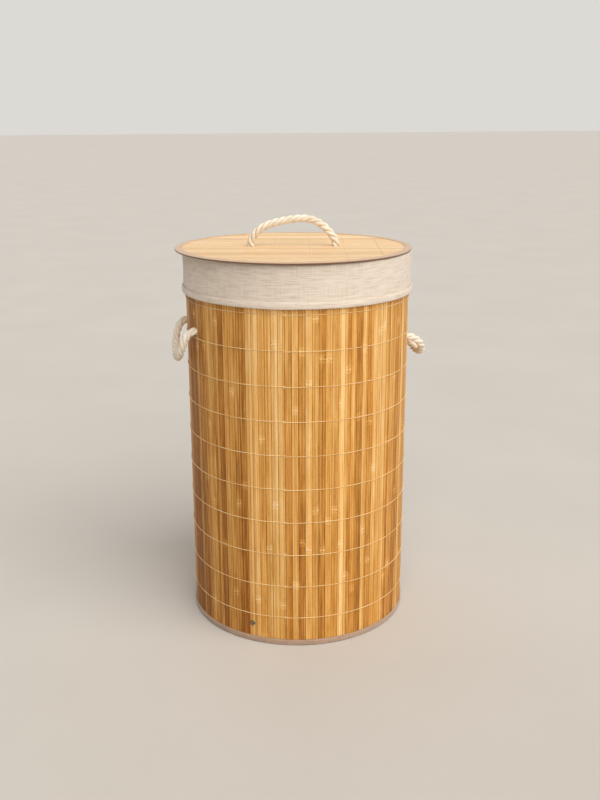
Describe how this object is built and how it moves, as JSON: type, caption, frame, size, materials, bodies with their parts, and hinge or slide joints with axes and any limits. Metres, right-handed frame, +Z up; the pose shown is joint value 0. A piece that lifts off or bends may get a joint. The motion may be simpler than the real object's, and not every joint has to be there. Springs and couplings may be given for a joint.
{
  "type": "laundry hamper",
  "caption": "Round bamboo slat laundry hamper with a lift-out linen liner folded over the rim, a flat lift-off lid, and rope handles on the lid and both sides.",
  "frame": {"origin": "middle of the base, on the floor", "axes": "+Z up; +X towards the right rope handle and -X towards the left one; the lid is turned 13.5 degrees clockwise about +Z"},
  "size_m": [0.4086, 0.368, 0.6483],
  "materials": {
    "bamboo": "varnished honey bamboo slats",
    "thread": "cream sewing thread",
    "backing_cloth": "non-woven backing cloth",
    "hoop_wire": "galvanised steel wire",
    "binding_tape": "woven mauve-brown cotton tape",
    "strap_webbing": "cotton webbing",
    "hardboard": "smooth hardboard",
    "rivet_metal": "dull nickel",
    "cotton_rope": "three-strand cream cotton rope",
    "elastic": "woven elastic",
    "linen": "oatmeal linen"
  },
  "bodies": {
    "basket": {"wall_slats": "bamboo", "wall_threads": "thread", "wall_backing": "backing_cloth", "wall_seam_tape": "backing_cloth", "rim_hoop": "hoop_wire", "rim_binding": "binding_tape", "foot_hoop": "hoop_wire", "foot_binding": "binding_tape", "base_cloth": "backing_cloth", "base_strap": "strap_webbing", "base_board": "hardboard", "strap_rivets": "rivet_metal", "rivet_washers": "rivet_metal", "left_handle_knots": "cotton_rope", "right_handle_knots": "cotton_rope"},
    "liner": {"liner_bag_wall": "linen", "liner_bag_floor": "linen", "liner_cuff": "linen", "liner_hem": "linen", "liner_elastic": "elastic"},
    "lid": {"lid_slats": "bamboo", "lid_threads": "thread", "lid_board": "hardboard", "lid_backing": "backing_cloth", "lid_hoop": "hoop_wire", "lid_binding": "binding_tape", "lid_handle_knots": "cotton_rope"},
    "lid_handle": {"lid_handle_rope": "cotton_rope"},
    "left_handle": {"left_handle_rope": "cotton_rope"},
    "right_handle": {"right_handle_rope": "cotton_rope"}
  },
  "joints": [
    {"name": "liner_lift", "type": "slide", "parent": "basket", "child": "liner", "axis": [0, 0, 1], "range_m": [0, 0.62]},
    {"name": "lid_lift", "type": "slide", "parent": "liner", "child": "lid", "axis": [0, 0, 1], "range_m": [0, 0.15]},
    {"name": "lid_handle_swing", "type": "hinge", "parent": "lid", "child": "lid_handle", "pos_m": [-0.006, 0, 0.6063], "axis": [0.9724, -0.2334, 0], "range_deg": [-80, 80]},
    {"name": "left_handle_swing", "type": "hinge", "parent": "basket", "child": "left_handle", "pos_m": [-0.17534, 0, 0.482], "axis": [0, 1, 0], "range_deg": [0, 120]},
    {"name": "right_handle_swing", "type": "hinge", "parent": "basket", "child": "right_handle", "pos_m": [0.17534, 0, 0.455], "axis": [0, -1, 0], "range_deg": [0, 105]}
  ]
}
